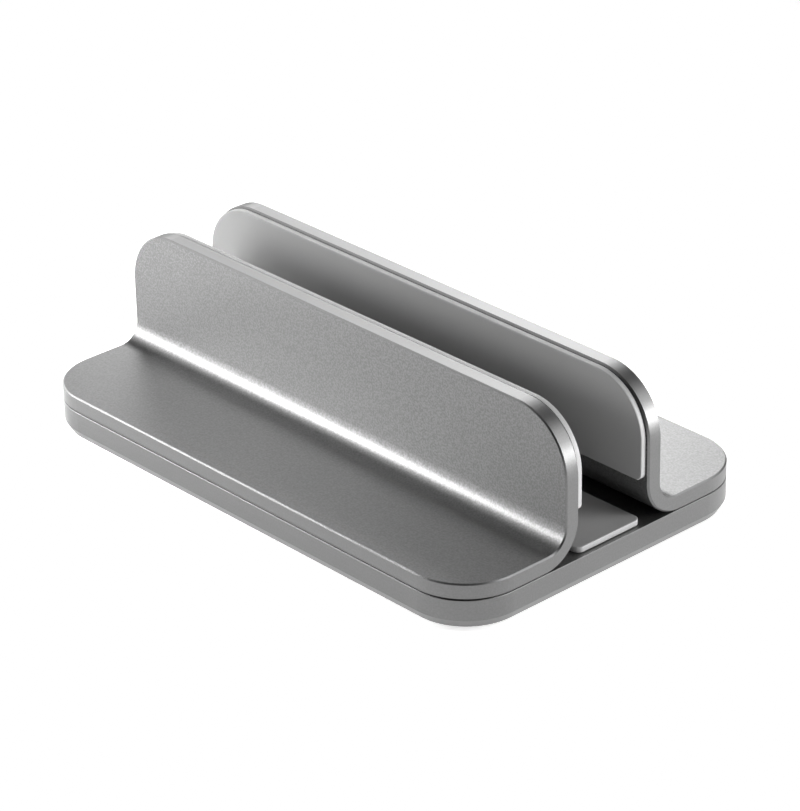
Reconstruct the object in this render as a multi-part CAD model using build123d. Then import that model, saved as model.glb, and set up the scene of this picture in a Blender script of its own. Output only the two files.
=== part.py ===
from build123d import *
import math
import os

# Vertical laptop stand: a slab base, two L-shaped brackets that slide across it, and soft pads.
# The origin is at the centre of the footprint, on the surface that the feet stand on.
# X runs along the slot that holds the laptop, Y runs across it, and Z is up.

# Base slab
base_length = 175.0
base_width = 108.0
base_thickness = 8.4
base_corner_radius = 17.5
base_top_chamfer = 0.15
base_skirt_height = 2.4
base_skirt_inset = 1.4

# Brackets: flange and upright are one bent plate
plate_thickness = 4.8
bracket_height = 41.5
open_slot_width = 25.6
bend_outer_radius = 12.0
bend_inner_radius = 6.0
upright_corner_radius = 17.5
plate_chamfer = 0.4
plate_inner_chamfer = 0.5

# How far each bracket slides towards the middle
slide_travel = 6.0

# Soft pads, and the adhesive sheets that hold them, set in from the outline of each pad
pad_thickness = 1.6
pad_edge_bevel = 0.5
tape_thickness = 0.3
tape_margin = 0.8

# Pads on the slot side of the uprights
side_pad_end_margin = 0.9
side_pad_top_margin = 0.5
side_pad_above_bend = 1.2
side_pad_lower_radius = 2.0

# Pad on the base, at the bottom of the slot
floor_pad_end_margin = 1.5
floor_pad_corner_radius = 2.0

# Clamp screws with low heads and hexagonal sockets, and their washers
screw_end_distance = 42.5
screw_edge_distance = 14.0
shank_diameter = 4.0
shank_length = 8.0
head_diameter = 7.0
head_height = 2.8
head_chamfer = 0.3
socket_across_flats = 2.5
socket_depth = 1.6
washer_diameter = 9.0
washer_thickness = 0.8
slot_web_thickness = 4.0
tapped_hole_spare_depth = 0.5

# Round soft feet, let into the underside
foot_diameter = 14.0
foot_seat_depth = 0.8
foot_stand_off = 1.0
foot_end_distance = 17.5
foot_edge_distance = 17.5
foot_edge_chamfer = 0.4

# Clearances
thread_clearance = 0.05
washer_clearance = 0.15
slide_clearance = 0.3
foot_seat_clearance = 0.15

# Heights and places worked out from the values above
base_bottom = foot_stand_off
base_top = base_bottom + base_thickness
half_length = base_length / 2
half_width = base_width / 2
slot_face = open_slot_width / 2
outer_face = slot_face + plate_thickness
screw_x = half_length - screw_end_distance
screw_y = half_width - screw_edge_distance
counterbore_depth = base_thickness - slot_web_thickness
foot_x = half_length - foot_end_distance
foot_y = half_width - foot_edge_distance
pad_stand_off = tape_thickness + pad_thickness


def arrises(solid, chosen, least_angle=40.0):
    """Edges of the chosen faces where they meet the rest of the solid at a clear angle."""
    faces = solid.faces()
    found = ShapeList()
    for edge in chosen.edges():
        middle = edge.position_at(0.5)
        sides = [face for face in faces if any(edge.is_same(other) for other in face.edges())]
        angle = sides[0].normal_at(middle).get_angle(sides[-1].normal_at(middle))
        if angle > least_angle:
            found.append(edge)
    return found


def at_height(edges, height):
    """Those of the edges that lie flat at one height."""
    tolerance = 1e-4
    return edges.filter_by(
        lambda edge: abs(edge.bounding_box().min.Z - height) < tolerance
        and abs(edge.bounding_box().max.Z - height) < tolerance
    )


def plan_outline():
    """Plan of the base, which the flanges share when the stand is fully open."""
    return RectangleRounded(base_length, base_width, base_corner_radius)


def slot_cut(width, bottom, depth, x, y_screw):
    """Straight slot across the base, as long as the travel, from the screw's place inwards."""
    inward = -slide_travel / 2 if y_screw > 0 else slide_travel / 2
    outline = SlotCenterToCenter(slide_travel, width, rotation=90)
    return Pos(x, y_screw + inward, bottom) * extrude(outline, depth)


def make_base_plate():
    """Slab with a chamfered skirt, stepped slots for the clamp screws and seats for the feet."""
    slab = Pos(0, 0, base_bottom) * extrude(plan_outline(), base_thickness)
    slab = chamfer(at_height(slab.edges(), base_top), base_top_chamfer)
    underside = slab.faces().sort_by(Axis.Z)[0]
    slab = chamfer(underside.edges(), base_skirt_inset, base_skirt_height, reference=underside)
    shank_slot = shank_diameter + 2 * slide_clearance
    washer_slot = washer_diameter + 2 * slide_clearance
    for x in (-screw_x, screw_x):
        for y in (-screw_y, screw_y):
            slab -= slot_cut(shank_slot, base_bottom, base_thickness, x, y)
            slab -= slot_cut(washer_slot, base_bottom, counterbore_depth, x, y)
    seat = Cylinder(foot_diameter / 2 + foot_seat_clearance, foot_seat_depth,
                    align=(Align.CENTER, Align.CENTER, Align.MIN))
    for x in (-foot_x, foot_x):
        for y in (-foot_y, foot_y):
            slab -= Pos(x, y, base_bottom) * seat
    return slab


def bracket_section():
    """L-shaped section of the rear bracket, seen along X, with its flange on the base."""
    inner_end = outer_face + bend_inner_radius
    flange_top = base_top + plate_thickness
    upright_top = base_top + bracket_height
    with BuildSketch(Plane.YZ) as section:
        with BuildLine():
            Polyline((slot_face + bend_outer_radius, base_top), (half_width, base_top),
                     (half_width, flange_top), (inner_end, flange_top))
            RadiusArc((inner_end, flange_top), (outer_face, flange_top + bend_inner_radius),
                      bend_inner_radius)
            Polyline((outer_face, flange_top + bend_inner_radius), (outer_face, upright_top),
                     (slot_face, upright_top), (slot_face, base_top + bend_outer_radius))
            RadiusArc((slot_face, base_top + bend_outer_radius),
                      (slot_face + bend_outer_radius, base_top), -bend_outer_radius)
        make_face()
    return section.sketch


def elevation_outline(length, bottom, top, upper_radius, lower_radius=0.0):
    """Outline of an upright or its pad, seen along Y, with rounded corners."""
    height = top - bottom
    outline = Pos(0, (top + bottom) / 2) * Rectangle(length, height)
    upper = outline.vertices().group_by(Axis.Y)[-1]
    outline = fillet(upper, upper_radius)
    if lower_radius > 0:
        lower = outline.vertices().group_by(Axis.Y)[0]
        outline = fillet(lower, lower_radius)
    return outline


def turned_to_front(shape):
    """The same shape turned half round about Z, for the other side of the slot."""
    return shape.rotate(Axis.Z, 180)


def broad_faces(plate, direction):
    """Upright, bend and flange faces on one side of the rear plate: 1 for the outside, -1 for
    the side that looks down and into the slot."""
    broad = plate.faces().sort_by(SortBy.AREA)[-6:]
    return broad.filter_by(
        lambda face: direction * (face.normal_at().Y + face.normal_at().Z) > 0
    )


def make_rear_bracket():
    """One bent plate: flange, bend and upright, with blind tapped holes under the flange."""
    plate = extrude(bracket_section(), half_length, both=True)
    plate = plate & Pos(0, 0, base_top) * extrude(plan_outline(), bracket_height)
    outline = elevation_outline(base_length, base_top, base_top + bracket_height,
                                upright_corner_radius)
    plate = plate & extrude(Plane.XZ * outline, half_width, both=True)
    plate = chamfer(arrises(plate, broad_faces(plate, -1)), plate_inner_chamfer)
    plate = chamfer(arrises(plate, broad_faces(plate, 1)), plate_chamfer)
    hole_depth = shank_length - washer_thickness - slot_web_thickness + tapped_hole_spare_depth
    hole = Cylinder(shank_diameter / 2 + thread_clearance, hole_depth,
                    align=(Align.CENTER, Align.CENTER, Align.MIN))
    for x in (-screw_x, screw_x):
        plate -= Pos(x, screw_y, base_top) * hole
    return plate


def side_pad_outline(set_in=0.0):
    """Outline of an upright's pad, or of a sheet set in from the edge of the pad."""
    end_margin = side_pad_end_margin + set_in
    return elevation_outline(
        base_length - 2 * end_margin,
        base_top + bend_outer_radius + side_pad_above_bend + set_in,
        base_top + bracket_height - side_pad_top_margin - set_in,
        upright_corner_radius - end_margin,
        side_pad_lower_radius - set_in,
    )


def make_rear_pad():
    """Soft pad on the rear upright, with its edge bevelled towards the slot."""
    back = Plane.XZ.offset(tape_thickness - slot_face)
    pad = extrude(back * side_pad_outline(), pad_thickness)
    exposed = pad.faces().sort_by(Axis.Y)[0]
    return chamfer(exposed.edges(), pad_edge_bevel)


def make_rear_pad_tape():
    """Adhesive sheet between the rear upright and its pad."""
    return extrude(Plane.XZ.offset(-slot_face) * side_pad_outline(tape_margin), tape_thickness)


def floor_pad_half_width():
    """Half the width that the bends leave to the pad when both brackets are closed up."""
    bend_centre = slot_face + bend_outer_radius - slide_travel
    reach = bend_outer_radius + slide_clearance
    drop = bend_outer_radius - pad_stand_off
    return bend_centre - math.sqrt(reach ** 2 - drop ** 2)


def floor_pad_outline(set_in=0.0):
    """Plan of the pad on the base, or of a sheet set in from the edge of the pad."""
    return RectangleRounded(base_length - 2 * (floor_pad_end_margin + set_in),
                            2 * (floor_pad_half_width() - set_in),
                            floor_pad_corner_radius - set_in)


def make_slot_pad():
    """Soft pad stuck to the base along the bottom of the slot, with a bevelled upper edge."""
    top = base_top + pad_stand_off
    pad = Pos(0, 0, base_top + tape_thickness) * extrude(floor_pad_outline(), pad_thickness)
    return chamfer(at_height(pad.edges(), top), pad_edge_bevel)


def make_slot_pad_tape():
    """Adhesive sheet between the base and the pad at the bottom of the slot."""
    return Pos(0, 0, base_top) * extrude(floor_pad_outline(tape_margin), tape_thickness)


def make_clamp_screw():
    """Screw with its head down and the head's bearing face at z = 0."""
    head = Pos(0, 0, -head_height) * Cylinder(head_diameter / 2, head_height,
                                              align=(Align.CENTER, Align.CENTER, Align.MIN))
    head = chamfer(at_height(head.edges(), -head_height), head_chamfer)
    socket = RegularPolygon(socket_across_flats / 2, 6, major_radius=False)
    head -= Pos(0, 0, -head_height) * extrude(socket, socket_depth)
    shank = Cylinder(shank_diameter / 2, shank_length,
                     align=(Align.CENTER, Align.CENTER, Align.MIN))
    shank = chamfer(at_height(shank.edges(), shank_length), head_chamfer)
    return head + shank


def make_clamp_washer():
    """Plain washer with its lower face at z = 0."""
    ring = Circle(washer_diameter / 2) - Circle(shank_diameter / 2 + washer_clearance)
    return extrude(ring, washer_thickness)


def pair_along_x(make_piece, height, y):
    """Two copies of a piece, one towards each end of the base."""
    places = (-screw_x, screw_x)
    return Compound(children=[Pos(x, y, height) * make_piece() for x in places])


def make_foot(x, y):
    """Round foot in its seat, with a bevelled lower edge."""
    foot = Cylinder(foot_diameter / 2, foot_seat_depth + foot_stand_off,
                    align=(Align.CENTER, Align.CENTER, Align.MIN))
    foot = chamfer(at_height(foot.edges(), 0), foot_edge_chamfer)
    return Pos(x, y, 0) * foot


def make_nodes():
    """All pieces of the stand by name, fully open."""
    washer_bottom = base_bottom + counterbore_depth - washer_thickness
    nodes = {
        "base_plate": make_base_plate(),
        "slot_pad": make_slot_pad(),
        "slot_pad_tape": make_slot_pad_tape(),
    }
    rear_side = {
        "bracket": make_rear_bracket(),
        "pad": make_rear_pad(),
        "pad_tape": make_rear_pad_tape(),
    }
    for name, shape in rear_side.items():
        nodes[f"rear_{name}"] = shape
        nodes[f"front_{name}"] = turned_to_front(shape)
    for side, y in (("front", -screw_y), ("rear", screw_y)):
        nodes[f"{side}_clamp_screws"] = pair_along_x(make_clamp_screw, washer_bottom, y)
        nodes[f"{side}_clamp_washers"] = pair_along_x(make_clamp_washer, washer_bottom, y)
    for side, y in (("front", -foot_y), ("rear", foot_y)):
        for end, x in (("left", -foot_x), ("right", foot_x)):
            nodes[f"foot_{side}_{end}"] = make_foot(x, y)
    return nodes


os.makedirs("parts", exist_ok=True)
for name, shape in make_nodes().items():
    export_step(shape, f"parts/{name}.step")
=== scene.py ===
"""Looks of a vertical laptop stand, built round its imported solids.

Every length is in metres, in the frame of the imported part: X along the slot that holds
the laptop, Y across it towards the rear bracket, and Z up from the surface it stands on.
The lamps' strengths and the metal's tone are fitted together to one picture, so neither
is a measure of the real ones.
"""

from __future__ import annotations

import logging
import math
from dataclasses import dataclass
from enum import Enum

import bmesh
import bpy
from mathutils import Matrix, Vector

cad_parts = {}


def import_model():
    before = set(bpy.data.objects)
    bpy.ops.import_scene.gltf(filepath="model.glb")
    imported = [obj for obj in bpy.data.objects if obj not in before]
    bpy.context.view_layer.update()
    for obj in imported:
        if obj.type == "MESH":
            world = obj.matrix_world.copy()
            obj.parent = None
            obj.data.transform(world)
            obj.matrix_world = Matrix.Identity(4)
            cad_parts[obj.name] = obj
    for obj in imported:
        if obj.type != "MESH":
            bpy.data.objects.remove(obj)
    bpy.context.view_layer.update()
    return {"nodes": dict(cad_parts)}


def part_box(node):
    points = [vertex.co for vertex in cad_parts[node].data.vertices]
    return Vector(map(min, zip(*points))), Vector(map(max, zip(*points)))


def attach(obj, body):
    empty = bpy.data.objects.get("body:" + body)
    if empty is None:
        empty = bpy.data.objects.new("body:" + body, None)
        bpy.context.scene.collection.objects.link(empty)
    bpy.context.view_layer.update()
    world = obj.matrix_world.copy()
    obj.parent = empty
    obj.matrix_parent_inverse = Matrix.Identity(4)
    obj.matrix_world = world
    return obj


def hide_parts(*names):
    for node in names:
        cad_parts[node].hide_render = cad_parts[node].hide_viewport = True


log = logging.getLogger("laptop_stand")

MM = 0.001
FULL_TURN = 2 * math.pi
QUARTER = 0.25
HALFWAY = 0.5
SHARP_ANGLE = math.radians(50)
MIX_LOW, MIX_HIGH, MIX_RESULT = 6, 7, 2
COMBINED_CURVE = 3
Colour = tuple[float, float, float, float]


class Side(Enum):
    """Which of the two brackets a piece belongs to."""

    FRONT = "front"
    REAR = "rear"

    @property
    def inward(self) -> Vector:
        """The direction from this side's upright into the slot."""
        return Vector((0, 1 if self is Side.FRONT else -1, 0))

    @property
    def body(self) -> str:
        """The moving body that this side's pieces ride on."""
        return f"{self.value}_side"


class Slot(Enum):
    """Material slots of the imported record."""

    PAD = "pad_silicone"


# ---------------------------------------------------------------- shading


class Amount:
    """A number that comes out of a node, on which plain arithmetic adds Math nodes."""

    def __init__(self, bench: FinishBench, socket: bpy.types.NodeSocket) -> None:
        """Wraps one socket.

        Args:
            bench: The finish whose tree the socket is in.
            socket: The output that holds the number.
        """
        self.bench = bench
        self.socket = socket

    def _sum(self, operation: str, left: Amount | float, right: Amount | float) -> Amount:
        """Adds one Math node.

        Args:
            operation: The Math node's operation.
            left: Its first number.
            right: Its second number.

        Returns:
            The number that comes out.
        """
        node = self.bench.place("ShaderNodeMath", {"operation": operation}, {0: left, 1: right})
        return Amount(self.bench, node.outputs[0])

    def __add__(self, other: Amount | float) -> Amount:
        """This number plus another."""
        return self._sum("ADD", self, other)

    def __radd__(self, other: float) -> Amount:
        """Another number plus this one."""
        return self._sum("ADD", other, self)

    def __sub__(self, other: Amount | float) -> Amount:
        """This number less another."""
        return self._sum("SUBTRACT", self, other)

    def __rsub__(self, other: float) -> Amount:
        """Another number less this one."""
        return self._sum("SUBTRACT", other, self)

    def __mul__(self, other: Amount | float) -> Amount:
        """This number times another."""
        return self._sum("MULTIPLY", self, other)

    def __rmul__(self, other: float) -> Amount:
        """Another number times this one."""
        return self._sum("MULTIPLY", other, self)

    def __truediv__(self, other: Amount | float) -> Amount:
        """This number over another."""
        return self._sum("DIVIDE", self, other)

    def __pow__(self, power: float) -> Amount:
        """This number to a power."""
        return self._sum("POWER", self, power)

    def __rpow__(self, base: float) -> Amount:
        """A plain number to the power of this one."""
        return self._sum("POWER", base, self)

    def __abs__(self) -> Amount:
        """This number without its sign."""
        return self._sum("ABSOLUTE", self, 0.0)

    def sine(self) -> Amount:
        """The sine of this number."""
        return self._sum("SINE", self, 0.0)

    def bell(self) -> Amount:
        """A bell curve of this number, 1 where it is 0 and about 0.6 where it is 1."""
        return math.e ** (self * self * -0.5)


class FinishBench:
    """The node tree of one finish: a Principled shader and what feeds it."""

    def __init__(self, name: str, fixed: dict[str, object]) -> None:
        """Starts a material.

        Args:
            name: Name of the material.
            fixed: Values that are the same all over the surface, by socket.
        """
        self.material = bpy.data.materials.new(name)
        self.material.use_nodes = True
        self.tree = self.material.node_tree
        self.tree.nodes.clear()
        self.shader = self.place("ShaderNodeBsdfPrincipled", inputs=fixed)
        self.place("ShaderNodeOutputMaterial", inputs={"Surface": self.shader.outputs[0]})
        coordinates = self.place("ShaderNodeTexCoord")
        self.where = coordinates.outputs["Object"]
        self.facing = coordinates.outputs["Normal"]

    def place(
        self,
        kind: str,
        settings: dict[str, object] | None = None,
        inputs: dict[str | int, object] | None = None,
    ) -> bpy.types.Node:
        """Adds any node to the tree.

        Args:
            kind: The node's type.
            settings: Its own settings, which are set first.
            inputs: A value or a link for each socket, by name or number.

        Returns:
            The node.
        """
        node = self.tree.nodes.new(kind)
        for name, value in (settings or {}).items():
            setattr(node, name, value)
        for key, value in (inputs or {}).items():
            self.feed(node.inputs[key], value)
        return node

    def feed(self, socket: bpy.types.NodeSocket, value: object) -> None:
        """Sets a socket to a value, or links it to an output.

        Args:
            socket: The input to fill.
            value: A plain value, an output socket or an amount.
        """
        source = value.socket if isinstance(value, Amount) else value
        if isinstance(source, bpy.types.NodeSocket):
            self.tree.links.new(source, socket)
        else:
            socket.default_value = source

    def _noise(
        self, where: bpy.types.NodeSocket, scale: float, detail: float, roughness: float
    ) -> Amount:
        """Adds one Noise node.

        Args:
            where: The place that it is read at.
            scale: How many patches there are to a unit of length.
            detail: How many finer layers are added.
            roughness: How strong the finer layers are.

        Returns:
            The noise, from about -1 to 1.
        """
        noise = self.place(
            "ShaderNodeTexNoise",
            {"noise_dimensions": "3D"},
            {"Vector": where, "Scale": scale, "Detail": detail, "Roughness": roughness},
        )
        return 2.0 * Amount(self, noise.outputs["Fac"]) - 1.0

    def grain(self, size: float, detail: float, roughness: float = 0.5) -> Amount:
        """Noise with patches of one size.

        Args:
            size: Rough width of a patch.
            detail: How many finer layers are added.
            roughness: How strong the finer layers are.

        Returns:
            The noise, from about -1 to 1.
        """
        return self._noise(self.where, 1 / size, detail, roughness)

    def streaks(self, pitch: float, length: float) -> Amount:
        """Noise drawn out along X and Y, as a cutter leaves it on an edge.

        Args:
            pitch: Rough distance from streak to streak, up the edge.
            length: Rough length of a streak.

        Returns:
            The noise, from about -1 to 1.
        """
        drawn = self.place(
            "ShaderNodeVectorMath",
            {"operation": "MULTIPLY"},
            {0: self.where, 1: (1 / length, 1 / length, 1 / pitch)},
        )
        return self._noise(drawn.outputs["Vector"], scale=1.0, detail=1.0, roughness=0.5)

    def limited(self, amount: Amount) -> Amount:
        """A number held between 0 and 1."""
        held = self.place("ShaderNodeClamp", inputs={0: amount, "Min": 0.0, "Max": 1.0})
        return Amount(self, held.outputs[0])

    def turned(self, axis: str) -> Amount:
        """How squarely the surface faces along an axis, from 0 to 1.

        Args:
            axis: X, Y or Z, taken both ways.

        Returns:
            The number, from the piece's own shape before any relief.
        """
        parts = self.place("ShaderNodeSeparateXYZ", inputs={0: self.facing})
        return abs(Amount(self, parts.outputs[axis]))

    def blend(
        self,
        share: Amount,
        low: Colour | bpy.types.NodeSocket,
        high: Colour | bpy.types.NodeSocket,
    ) -> bpy.types.NodeSocket:
        """A colour between two others.

        Args:
            share: How much of the second colour there is, from 0 to 1.
            low: The colour at 0.
            high: The colour at 1.

        Returns:
            The colour's socket.
        """
        mix = self.place(
            "ShaderNodeMix",
            {"data_type": "RGBA", "clamp_factor": True},
            {0: share, MIX_LOW: low, MIX_HIGH: high},
        )
        return mix.outputs[MIX_RESULT]

    def two_tone(self, share: Amount, tone: float, contrast: float) -> bpy.types.NodeSocket:
        """A grey that varies evenly to both sides of its tone.

        Args:
            share: How much of the paler grey there is, from 0 to 1.
            tone: The grey halfway.
            contrast: Difference between the two greys, as a part of the tone.

        Returns:
            The colour's socket.
        """
        spread = contrast / 2
        return self.blend(share, grey(tone * (1 - spread)), grey(tone * (1 + spread)))

    def relief(self, height: Amount, depth: float) -> bpy.types.NodeSocket:
        """A bump over the surface.

        Args:
            height: Relief from about -1 to 1.
            depth: How deep the relief is.

        Returns:
            The normal's socket.
        """
        bump = self.place(
            "ShaderNodeBump", inputs={"Strength": 1.0, "Distance": depth, "Height": height}
        )
        return bump.outputs["Normal"]

    def set(self, **sockets: object) -> None:
        """Feeds the shader's own sockets, named with underscores for spaces."""
        for name, value in sockets.items():
            self.feed(self.shader.inputs[name.replace("_", " ")], value)


def grey(value: float) -> Colour:
    """A neutral grey with full alpha, from 0 for black to 1 for white."""
    return (value, value, value, 1.0)


@dataclass(frozen=True)
class BlastedAluminium:
    """Plate blasted with fine beads and then anodised grey.

    Its sawn edges, the ends of the uprights and the rim of the slab are milled, so the
    grain is faint there and fine tool marks run along them.
    """

    name: str = "bead_blasted_anodised_aluminium"
    tone: float = 0.202
    contrast: float = 0.46
    roughness: float = 0.47
    roughness_spread: float = 0.06
    film_roughness: float = 0.38
    pit_size: float = 0.40 * MM
    pit_depth: float = 0.012 * MM
    speck_size: float = 0.50 * MM
    cloud_size: float = 22 * MM
    speck_shade: float = 1.2
    cloud_shade: float = 0.1
    speck_roughness: float = 0.6
    cloud_roughness: float = 0.4
    edge_grain: float = 0.25
    level_grain_and_painted_glint: float = 0.55
    tool_mark: float = 0.10
    tool_pitch: float = 0.35 * MM
    tool_length: float = 30 * MM
    rim_height: float = 14.1 * MM
    crown_height: float = 40 * MM
    blur: float = 0.2 * MM
    mask_gain: float = 1.5

    def milled(self, bench: FinishBench) -> Amount:
        """Where a face is a milled edge: 1 there and 0 on the blasted faces.

        Args:
            bench: The finish that asks.

        Returns:
            The mask.
        """
        along, over = bench.turned("X"), bench.turned("Z")
        place = bench.place("ShaderNodeSeparateXYZ", inputs={0: bench.where})
        height = Amount(bench, place.outputs["Z"])
        rim = bench.limited((self.rim_height - height) / self.blur) * (1 - over)
        crown = bench.limited((height - self.crown_height) / self.blur) * over
        return bench.limited((along + rim + crown) * self.mask_gain)

    def made(self) -> bpy.types.Material:
        """Makes the finish.

        Returns:
            The material.
        """
        bench = FinishBench(
            self.name,
            {
                "Metallic": 1.0,
                "Specular IOR Level": 0.5,
                "Coat Weight": 1.0,
                "Coat Roughness": self.film_roughness,
                "Coat IOR": 1.6,
            },
        )
        milled = self.milled(bench)
        # Painted glint: the speckle contrast in the colour is cut on level faces, to follow how
        # strongly the lamps catch the grain on each face. The pits' relief is cut there too.
        grain_and_painted_glint_by_facing = 1 - bench.turned("Z") * (1 - self.level_grain_and_painted_glint)
        blasted = (1 - milled * (1 - self.edge_grain)) * grain_and_painted_glint_by_facing
        specks = bench.grain(self.speck_size, detail=0.0)
        clouds = bench.grain(self.cloud_size, detail=3.0)
        pits = bench.grain(self.pit_size, detail=1.0)
        marks = bench.streaks(self.tool_pitch, self.tool_length)
        share = HALFWAY + self.speck_shade * blasted * specks + self.cloud_shade * clouds
        share = share + self.tool_mark * milled * marks
        uneven = self.speck_roughness * specks + self.cloud_roughness * clouds
        bench.set(
            Base_Color=bench.two_tone(share, self.tone, self.contrast),
            Roughness=self.roughness + self.roughness_spread * uneven,
            Normal=bench.relief(blasted * pits, self.pit_depth),
        )
        return bench.material


@dataclass(frozen=True)
class MouldedSilicone:
    """Soft grey silicone with a smooth matte skin and a paler band painted round its rolled edge as
    a highlight.
    """

    name: str
    face: str
    tone: float = 0.39
    painted_highlight_tone: float = 0.62
    painted_highlight_reach: float = 1.5
    contrast: float = 0.04
    skin_shade: float = 0.35
    sag_shade: float = 0.4
    roughness: float = 0.50
    roughness_spread: float = 0.04
    skin_size: float = 0.5 * MM
    skin_depth: float = 0.006 * MM
    sag_size: float = 9 * MM
    sag_depth: float = 0.05 * MM

    def made(self) -> bpy.types.Material:
        """Makes the finish.

        Returns:
            The material.
        """
        bench = FinishBench(self.name, {"Metallic": 0.0, "IOR": 1.6, "Specular IOR Level": 0.5})
        skin = bench.grain(self.skin_size, detail=3.0, roughness=0.6)
        sag = bench.grain(self.sag_size, detail=1.0, roughness=0.4)
        share = HALFWAY + self.skin_shade * skin + self.sag_shade * sag
        colour = bench.two_tone(share, self.tone, self.contrast)
        # Painted highlight: the colour turns paler where the surface turns away from the pad's
        # face, round its rolled edge.
        rim = bench.limited(self.painted_highlight_reach - self.painted_highlight_reach * bench.turned(self.face))
        height = skin * (self.skin_depth / self.sag_depth) + sag
        bench.set(
            Base_Color=bench.blend(rim, colour, grey(self.painted_highlight_tone)),
            Roughness=self.roughness + self.roughness_spread * skin,
            Normal=bench.relief(height, self.sag_depth),
        )
        return bench.material


@dataclass(frozen=True)
class FootRubber:
    """Darker, slightly dusty silicone of the feet."""

    name: str = "foot_silicone_dark"
    tone: float = 0.07
    dust: float = 0.05
    dust_size: float = 3 * MM
    dust_cover: float = 0.4
    dust_shade: float = 0.5
    skin_shade: float = 0.3
    roughness: float = 0.7
    roughness_spread: float = 0.1
    grain_size: float = 0.35 * MM
    grain_depth: float = 0.02 * MM

    def made(self) -> bpy.types.Material:
        """Makes the finish.

        Returns:
            The material.
        """
        bench = FinishBench(self.name, {"Metallic": 0.0, "Specular IOR Level": 0.4})
        skin = bench.grain(self.grain_size, detail=3.0, roughness=0.6)
        dust = bench.grain(self.dust_size, detail=4.0, roughness=0.6)
        share = self.dust_cover + self.dust_shade * dust + self.skin_shade * skin
        bench.set(
            Base_Color=bench.blend(share, grey(self.tone), grey(self.tone + self.dust)),
            Roughness=self.roughness + self.roughness_spread * dust,
            Normal=bench.relief(skin, self.grain_depth),
        )
        return bench.material


@dataclass(frozen=True)
class AdhesiveFoam:
    """Dark foam sheet with open pores along its cut edge."""

    name: str = "adhesive_foam"
    tone: float = 0.035
    pore_shade: float = 0.5
    wall_shade: float = 1.6
    roughness: float = 0.85
    pore_gloss: float = 0.1
    pore_size: float = 0.14 * MM
    pore_depth: float = 0.03 * MM

    def made(self) -> bpy.types.Material:
        """Makes the finish.

        Returns:
            The material.
        """
        bench = FinishBench(self.name, {"Metallic": 0.0, "Specular IOR Level": 0.3})
        cells = bench.place(
            "ShaderNodeTexVoronoi",
            {"feature": "F1"},
            {"Vector": bench.where, "Scale": 1 / self.pore_size},
        )
        pores = Amount(bench, cells.outputs["Distance"])
        low, high = grey(self.tone * self.pore_shade), grey(self.tone * self.wall_shade)
        bench.set(
            Base_Color=bench.blend(pores, low, high),
            Roughness=self.roughness - self.pore_gloss * pores,
            Normal=bench.relief(pores, self.pore_depth),
        )
        return bench.material


@dataclass(frozen=True)
class TurnedSteel:
    """Plain steel with fine rings left by turning, round each screw's own axis."""

    screw_x: float
    screw_y: float
    name: str = "turned_steel"
    tone: float = 0.52
    dark_shade: float = 0.86
    pale_shade: float = 1.08
    stain_size: float = 2.5 * MM
    stain_shade: float = 0.5
    ring_shade: float = 0.1
    roughness: float = 0.3
    stain_roughness: float = 0.08
    fine_roughness: float = 0.05
    fine_size: float = 0.1 * MM
    ring_pitch: float = 0.16 * MM
    ring_depth: float = 0.004 * MM
    ring_relief: float = 0.7
    fine_relief: float = 0.3

    def made(self) -> bpy.types.Material:
        """Makes the finish.

        Returns:
            The material.
        """
        bench = FinishBench(self.name, {"Metallic": 1.0})
        split = bench.place("ShaderNodeSeparateXYZ", inputs={0: bench.where})
        x, y = (Amount(bench, split.outputs[axis]) for axis in ("X", "Y"))
        radius = ((abs(x) - self.screw_x) ** 2.0 + (abs(y) - self.screw_y) ** 2.0) ** 0.5
        rings = (radius * (FULL_TURN / self.ring_pitch)).sine()
        stain = bench.grain(self.stain_size, detail=4.0, roughness=0.6)
        fine = bench.grain(self.fine_size, detail=2.0)
        share = HALFWAY + self.stain_shade * stain + self.ring_shade * rings
        low, high = grey(self.tone * self.dark_shade), grey(self.tone * self.pale_shade)
        uneven = self.stain_roughness * stain
        height = self.ring_relief * rings + self.fine_relief * fine
        bench.set(
            Base_Color=bench.blend(share, low, high),
            Roughness=self.roughness + uneven + self.fine_roughness * fine,
            Normal=bench.relief(height, self.ring_depth),
        )
        return bench.material


@dataclass(frozen=True)
class Glow:
    """A soft patch of light in the table top."""

    azimuth: float
    reach: float
    spread: float
    strength: float

    @property
    def place(self) -> tuple[float, float, float]:
        """The middle of the patch."""
        angle = math.radians(self.azimuth)
        return (self.reach * math.sin(angle), -self.reach * math.cos(angle), 0.0)


@dataclass(frozen=True)
class LitTable:
    """White acrylic table top, lit from within so that it stays pale under the part."""

    glow: float
    patches: tuple[Glow, ...]
    name: str = "lit_table"
    tone: float = 0.8
    haze_size: float = 60 * MM
    haze_shade: float = 0.5
    haze_tone: float = 1.02

    def made(self) -> bpy.types.Material:
        """Makes the finish.

        Returns:
            The material.
        """
        bench = FinishBench(
            self.name,
            {"Roughness": 0.9, "Specular IOR Level": 0.0, "Emission Strength": 1.0},
        )
        haze = bench.grain(self.haze_size, detail=2.0)
        light: Amount | float = self.glow
        for patch in self.patches:
            away = bench.place(
                "ShaderNodeVectorMath", {"operation": "DISTANCE"}, {0: bench.where, 1: patch.place}
            )
            distance = Amount(bench, away.outputs["Value"])
            light = light + (distance / patch.spread).bell() * patch.strength
        share = HALFWAY + self.haze_shade * haze
        bench.set(
            Base_Color=bench.blend(share, grey(self.tone), grey(self.tone * self.haze_tone)),
            Emission_Color=light,
        )
        return bench.material


# ---------------------------------------------------------------- pieces


def dress(node: bpy.types.Object, material: bpy.types.Material) -> None:
    """Gives a piece its finish.

    Args:
        node: The piece's object.
        material: The finish for all of it.
    """
    node.data.materials.clear()
    node.data.materials.append(material)
    log.info("%s dressed", node.name)


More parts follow.
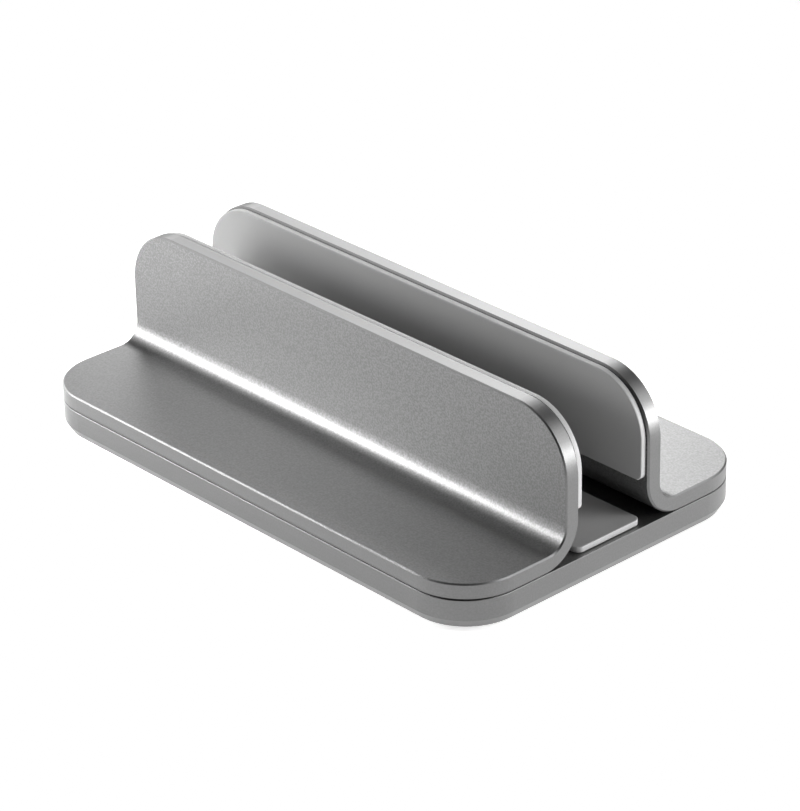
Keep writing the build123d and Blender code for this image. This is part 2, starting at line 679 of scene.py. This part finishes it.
@dataclass
class SoftPad:
    """A silicone sheet with rounded corners, its exposed edge rolled over.

    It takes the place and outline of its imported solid.
    """

    name: str
    node: str
    body: str
    across: Vector
    up: Vector
    outward: Vector
    upper_radius: float
    lower_radius: float
    edge_radius: float = 0.3 * MM
    edge_steps: int = 6
    corner_steps: int = 20
    run_steps: int = 60
    flat_inset: float = 1.6
    least_reach: float = 0.05 * MM
    waviness: float = 0.06 * MM
    waves: tuple[tuple[float, int, float], ...] = ((0.5, 5, 0.7), (0.3, 13, 2.1), (0.2, 29, 4.0))

    def outline(self, width: float, height: float, inset: float) -> list[tuple[float, float]]:
        """Points round the sheet, from its lower left corner, anticlockwise.

        Args:
            width: Width of the sheet.
            height: Height of the sheet.
            inset: How far inside the sheet's edge the points lie.

        Returns:
            Points measured from the sheet's middle.
        """
        half_w, half_h = width / 2, height / 2
        corners = [
            (1, -1, self.lower_radius, -0.25),
            (1, 1, self.upper_radius, 0.0),
            (-1, 1, self.upper_radius, 0.25),
            (-1, -1, self.lower_radius, 0.5),
        ]
        found: list[tuple[float, float]] = []
        for side, top, radius, start in corners:
            centre = (side * (half_w - radius), top * (half_h - radius))
            reach = max(radius - inset, self.least_reach)
            shift = inset - (radius - reach)
            centre = (centre[0] - side * shift, centre[1] - top * shift)
            arc = []
            for step in range(self.corner_steps + 1):
                turn = FULL_TURN * (start + QUARTER * step / self.corner_steps)
                arc.append((centre[0] + reach * math.cos(turn), centre[1] + reach * math.sin(turn)))
            if found:
                found.extend(self._between(found[-1], arc[0]))
            found.extend(arc)
        found.extend(self._between(found[-1], found[0]))
        return found

    def _between(
        self, start: tuple[float, float], end: tuple[float, float]
    ) -> list[tuple[float, float]]:
        """Points along a straight edge, without its two ends.

        Args:
            start: The edge's first end.
            end: Its other end.

        Returns:
            The points, more of them where the edge runs lengthwise.
        """
        lengthwise = abs(end[0] - start[0]) > abs(end[1] - start[1])
        steps = self.run_steps if lengthwise else self.corner_steps
        return [
            (
                start[0] + (end[0] - start[0]) * step / steps,
                start[1] + (end[1] - start[1]) * step / steps,
            )
            for step in range(1, steps)
        ]

    def profile(self, thickness: float) -> list[tuple[float, float]]:
        """Section of the edge, from the glued face round to the exposed one.

        Args:
            thickness: Thickness of the sheet.

        Returns:
            Inset from the outline and height above the glued face, ring by ring.
        """
        rings = [(0.0, 0.0), (0.0, HALFWAY * (thickness - self.edge_radius))]
        for step in range(self.edge_steps + 1):
            angle = QUARTER * FULL_TURN * step / self.edge_steps
            rings.append(
                (
                    self.edge_radius * (1 - math.cos(angle)),
                    thickness - self.edge_radius * (1 - math.sin(angle)),
                )
            )
        rings.append((self.edge_radius * self.flat_inset, thickness))
        return rings

    def unevenness(self, share: float) -> float:
        """How far the cut edge lies inside its outline at a place round it.

        Args:
            share: The place, from 0 to 1 round the sheet.

        Returns:
            The distance, never less than nothing.
        """
        turn = FULL_TURN * share
        wave = sum(height * math.sin(count * turn + phase) for height, count, phase in self.waves)
        return self.waviness * (1 + wave) / 2

    def build(self) -> bpy.types.Object:
        """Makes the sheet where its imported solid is.

        Returns:
            The new object, which rides on its body.
        """
        low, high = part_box(self.node)
        size = high - low
        width = abs(size.dot(self.across))
        height = abs(size.dot(self.up))
        thickness = abs(size.dot(self.outward))
        middle = (low + high) / 2 - self.outward * thickness / 2
        mesh = bmesh.new()
        rings: list[list[bmesh.types.BMVert]] = []
        for inset, rise in self.profile(thickness):
            points = self.outline(width, height, inset)
            ring = []
            for index, (u, v) in enumerate(points):
                worn = self.unevenness(index / len(points))
                pull = Vector((-u, -v)).normalized() * worn
                place = middle + self.across * (u + pull.x) + self.up * (v + pull.y)
                ring.append(mesh.verts.new(place + self.outward * rise))
            rings.append(ring)
        for outer, inner in zip(rings, rings[1:]):
            for index, vert in enumerate(outer):
                following = (index + 1) % len(outer)
                mesh.faces.new((vert, outer[following], inner[following], inner[index]))
        mesh.faces.new(reversed(rings[0]))
        mesh.faces.new(rings[-1])
        bmesh.ops.recalc_face_normals(mesh, faces=mesh.faces)
        for face in mesh.faces:
            face.smooth = True
        data = bpy.data.meshes.new(self.name)
        mesh.to_mesh(data)
        mesh.free()
        data.set_sharp_from_angle(angle=SHARP_ANGLE)
        pad = bpy.data.objects.new(self.name, data)
        bpy.context.scene.collection.objects.link(pad)
        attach(pad, self.body)
        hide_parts(self.node)
        log.info("%s stands for %s on %s", self.name, self.node, self.body)
        return pad


@dataclass
class SlidingSide:
    """One bracket with its pad, adhesive sheet, clamp screws and washers."""

    side: Side
    pad_upper_radius: float = 16.6 * MM
    pad_lower_radius: float = 2.0 * MM

    def node(self, piece: str) -> str:
        """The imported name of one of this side's pieces."""
        return f"{self.side.value}_{piece}"

    def build(self, nodes: dict[str, bpy.types.Object], finishes: Finishes) -> None:
        """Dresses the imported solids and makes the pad.

        Args:
            nodes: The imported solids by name.
            finishes: The finishes of the whole stand.
        """
        dress(nodes[self.node("bracket")], finishes.aluminium)
        dress(nodes[self.node("pad_tape")], finishes.adhesive)
        dress(nodes[self.node("clamp_screws")], finishes.steel)
        dress(nodes[self.node("clamp_washers")], finishes.steel)
        pad = SoftPad(
            name=self.node("pad_moulded"),
            node=self.node("pad"),
            body=self.side.body,
            across=Vector((1, 0, 0)),
            up=Vector((0, 0, 1)),
            outward=self.side.inward,
            upper_radius=self.pad_upper_radius,
            lower_radius=self.pad_lower_radius,
        ).build()
        dress(pad, finishes.side_silicone)


@dataclass
class Base:
    """The slab with its feet and the pad at the bottom of the slot."""

    pad_corner_radius: float = 2.0 * MM
    body: str = "base"

    def build(self, nodes: dict[str, bpy.types.Object], finishes: Finishes) -> None:
        """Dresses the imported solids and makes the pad.

        Args:
            nodes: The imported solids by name.
            finishes: The finishes of the whole stand.
        """
        dress(nodes["base_plate"], finishes.aluminium)
        dress(nodes["slot_pad_tape"], finishes.adhesive)
        for name in sorted(nodes):
            if name.startswith("foot_"):
                dress(nodes[name], finishes.rubber)
        pad = SoftPad(
            name="slot_pad_moulded",
            node="slot_pad",
            body=self.body,
            across=Vector((1, 0, 0)),
            up=Vector((0, 1, 0)),
            outward=Vector((0, 0, 1)),
            upper_radius=self.pad_corner_radius,
            lower_radius=self.pad_corner_radius,
        ).build()
        dress(pad, finishes.floor_silicone)


class Finishes:
    """Every finish of the stand, made once and shared."""

    def __init__(self) -> None:
        """Makes the materials, with the screws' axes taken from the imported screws."""
        low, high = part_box("rear_clamp_screws")
        head = (high.y - low.y) / 2
        axis_x = high.x - head
        axis_y = (high.y + low.y) / 2
        self.aluminium = BlastedAluminium().made()
        self.side_silicone = MouldedSilicone("matte_silicone_upright", "Y").made()
        # The level pad has the same painted highlight round its rolled edge, a little less pale.
        self.floor_silicone = MouldedSilicone(
            "matte_silicone_level", "Z", tone=0.42, painted_highlight_tone=0.58
        ).made()
        self.rubber = FootRubber().made()
        self.adhesive = AdhesiveFoam().made()
        self.steel = TurnedSteel(axis_x, axis_y).made()


# ---------------------------------------------------------------- studio


def direction(azimuth: float, elevation: float) -> Vector:
    """The direction from the stand towards a place round it.

    Args:
        azimuth: Degrees round from the front, towards the right end.
        elevation: Degrees above the table.

    Returns:
        The direction, one long.
    """
    turn, rise = math.radians(azimuth), math.radians(elevation)
    return Vector(
        (math.sin(turn) * math.cos(rise), -math.cos(turn) * math.cos(rise), math.sin(rise))
    )


@dataclass(frozen=True)
class SoftBox:
    """A rectangular lamp that faces the stand and isn't seen itself."""

    name: str
    azimuth: float
    elevation: float
    width: float
    height: float
    radiance: float
    distance: float = 1.0

    def build(self, aim: Vector) -> None:
        """Makes the lamp.

        Args:
            aim: The point that it faces.
        """
        light = bpy.data.lights.new(self.name, "AREA")
        light.shape = "RECTANGLE"
        light.size = self.width
        light.size_y = self.height
        light.energy = self.radiance * self.width * self.height * math.pi
        lamp = bpy.data.objects.new(self.name, light)
        away = direction(self.azimuth, self.elevation)
        lamp.location = aim + away * self.distance
        lamp.rotation_mode = "QUATERNION"
        lamp.rotation_quaternion = away.to_track_quat("Z", "Y")
        lamp.visible_camera = False
        bpy.context.scene.collection.objects.link(lamp)
        log.info("%s set", self.name)


@dataclass
class ViewPoint:
    """The camera, on a line that passes through a point above the stand's middle."""

    azimuth: float = 47.723
    elevation: float = 27.051
    roll: float = -1.162
    distance: float = 0.99579
    aim_right: float = 3.50 * MM
    aim_up: float = 14.508 * MM
    base_height: float = 1.35 * MM
    lens: float = 158.88
    film: float = 36.0
    nearest: float = 0.05
    farthest: float = 20.0

    def build(self) -> None:
        """Makes the camera and has the scene seen through it."""
        azimuth, roll = math.radians(self.azimuth), math.radians(self.roll)
        back = direction(self.azimuth, self.elevation)
        level = Vector((math.cos(azimuth), math.sin(azimuth), 0))
        upright = back.cross(level)
        right = math.cos(roll) * level + math.sin(roll) * upright
        up = math.cos(roll) * upright - math.sin(roll) * level
        data = bpy.data.cameras.new("camera")
        data.sensor_width = self.film
        data.lens = self.lens
        data.clip_start = self.nearest
        data.clip_end = self.farthest
        camera = bpy.data.objects.new("camera", data)
        place = right * self.aim_right + up * self.aim_up + back * self.distance
        place.z += self.base_height
        turn = Matrix((right, up, back)).transposed().to_4x4()
        camera.matrix_world = Matrix.Translation(place) @ turn
        bpy.context.scene.collection.objects.link(camera)
        bpy.context.scene.camera = camera
        log.info("camera set")


@dataclass
class Studio:
    """Pale table, soft lamps and camera."""

    lift: tuple[tuple[float, float], ...] = ((0.45, 0.45), (0.85, 1.0))
    table_size: float = 4.0
    table_glow: float = 0.123
    backdrop: float = 0.6
    aim_height: float = 20 * MM
    lamps: tuple[SoftBox, ...] = (
        SoftBox("low_far_rear_right_lamp", 140, 6, 0.35, 0.2, 30.2, 1),
        SoftBox("near_front_left_lamp", -40, 19, 0.15, 0.126, 12.3, 0.45),
        SoftBox("close_front_left_lamp", -45, 14, 0.07, 0.09, 6.74, 0.27),
        SoftBox("far_left_front_lamp", -60, 20, 0.33, 0.28, 5.9, 1),
        SoftBox("high_far_right_rear_lamp", 120, 40, 0.4, 0.36, 5.29, 1),
        SoftBox("low_near_left_lamp", -80, 5, 0.16, 0.09, 4.65, 0.45),
        SoftBox("low_near_front_left_lamp", -40, 5, 0.16, 0.09, 4.51, 0.45),
        SoftBox("high_near_rear_lamp", -150, 38, 0.18, 0.16, 3.91, 0.45),
        SoftBox("near_left_rear_lamp", -120, 19, 0.15, 0.126, 2.62, 0.45),
        SoftBox("near_rear_left_lamp", -140, 19, 0.15, 0.126, 2.54, 0.45),
        SoftBox("overhead_lamp", 0, 88, 0.5, 0.5, 1, 1),
        SoftBox("low_far_left_front_lamp", -60, 6, 0.35, 0.2, 1.62, 1),
        SoftBox("far_rear_left_lamp", -140, 20, 0.33, 0.28, 1.3, 1),
        SoftBox("high_near_left_rear_lamp", -120, 38, 0.18, 0.16, 1.08, 0.45),
        SoftBox("high_near_left_front_lamp", -60, 38, 0.18, 0.16, 0.768, 0.45),
    )
    patches: tuple[Glow, ...] = (
        Glow(0, 0, 0.13, 0.471),
        Glow(-90, 0.2, 0.07, 0.349),
        Glow(90, 0.2, 0.07, 0.276),
        Glow(45, 0.2, 0.07, 0.194),
        Glow(-45, 0.2, 0.07, 0.0937),
    )

    def build_table(self) -> None:
        """Makes the table top that the stand is on."""
        half = self.table_size / 2
        data = bpy.data.meshes.new("table")
        corners = [(-half, -half, 0), (half, -half, 0), (half, half, 0), (-half, half, 0)]
        data.from_pydata(corners, [], [(0, 1, 2, 3)])
        table = bpy.data.objects.new("table", data)
        table.data.materials.append(LitTable(glow=self.table_glow, patches=self.patches).made())
        bpy.context.scene.collection.objects.link(table)

    def build_backdrop(self) -> None:
        """Gives the room a pale backdrop that is only seen, and lights nothing."""
        world = bpy.data.worlds.new("backdrop")
        world.use_nodes = True
        background = world.node_tree.nodes["Background"]
        background.inputs["Color"].default_value = grey(1.0)
        background.inputs["Strength"].default_value = self.backdrop
        for kind in ("diffuse", "glossy", "transmission", "scatter"):
            setattr(world.cycles_visibility, kind, False)
        bpy.context.scene.world = world

    def set_development(self) -> None:
        """Has the picture developed plainly, with its palest tones lifted to white."""
        view = bpy.context.scene.view_settings
        view.view_transform = "Standard"
        view.use_curve_mapping = True
        curve = view.curve_mapping.curves[COMBINED_CURVE]
        for place, tone in self.lift:
            curve.points.new(place, tone)
        for point in curve.points:
            point.handle_type = "VECTOR"
        view.curve_mapping.update()

    def build(self) -> None:
        """Sets the whole studio up."""
        self.set_development()
        self.build_table()
        self.build_backdrop()
        for lamp in self.lamps:
            lamp.build(Vector((0, 0, self.aim_height)))
        ViewPoint().build()


def build_stand(frame: dict[str, object]) -> None:
    """Builds and dresses every piece of the stand.

    Args:
        frame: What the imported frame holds.
    """
    finishes = Finishes()
    Base().build(frame["nodes"], finishes)
    for side in Side:
        SlidingSide(side).build(frame["nodes"], finishes)


def main() -> None:
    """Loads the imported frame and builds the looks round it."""
    logging.basicConfig(level=logging.INFO, format="%(name)s: %(message)s")
    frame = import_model()
    build_stand(frame)
    Studio().build()


if __name__ == "__main__":
    main()
